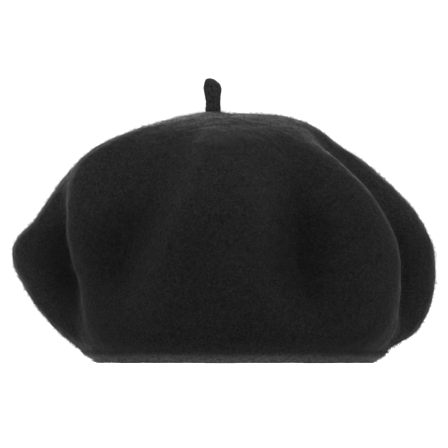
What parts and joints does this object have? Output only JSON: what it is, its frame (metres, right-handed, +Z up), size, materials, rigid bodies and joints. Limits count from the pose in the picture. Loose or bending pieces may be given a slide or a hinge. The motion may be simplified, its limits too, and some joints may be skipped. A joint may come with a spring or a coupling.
{
  "type": "felt beret",
  "caption": "Round black felted wool beret with a stubby stem, soft radial folds and a turned-under hem, shaped as when worn.",
  "frame": {"origin": "centre of the oval head opening, in the plane that the hem rests on", "axes": "+Z up through the crown, -Y the front, +Y the back, +X the right side seen from the front"},
  "size_m": [0.2407, 0.25, 0.1623],
  "materials": {
    "felt": "black felted wool with a short fuzzy nap",
    "ribbon": "black grosgrain ribbon",
    "thread": "black sewing thread",
    "label": "blank off-white woven tape"
  },
  "bodies": {
    "cap": {"felt_body": "felt", "stem_root": "felt", "stem_tack_thread": "thread", "sweatband": "ribbon", "sweatband_thread": "thread", "band_join_thread": "thread", "bow_loops": "ribbon", "bow_knot": "ribbon", "label_thread": "thread"},
    "stem": {"stem": "felt"},
    "label": {"care_label": "label"}
  },
  "joints": [
    {"name": "stem_tilt", "type": "hinge", "parent": "cap", "child": "stem", "pos_m": [-0.012, -0.004, 0.1445], "axis": [0, 1, 0], "range_deg": [-40, 40], "stiffness_Nm_per_rad": 0.004},
    {"name": "label_flip", "type": "hinge", "parent": "cap", "child": "label", "pos_m": [0.07187, 0, 0.027], "axis": [0, 1, 0], "range_deg": [0, 150]}
  ]
}
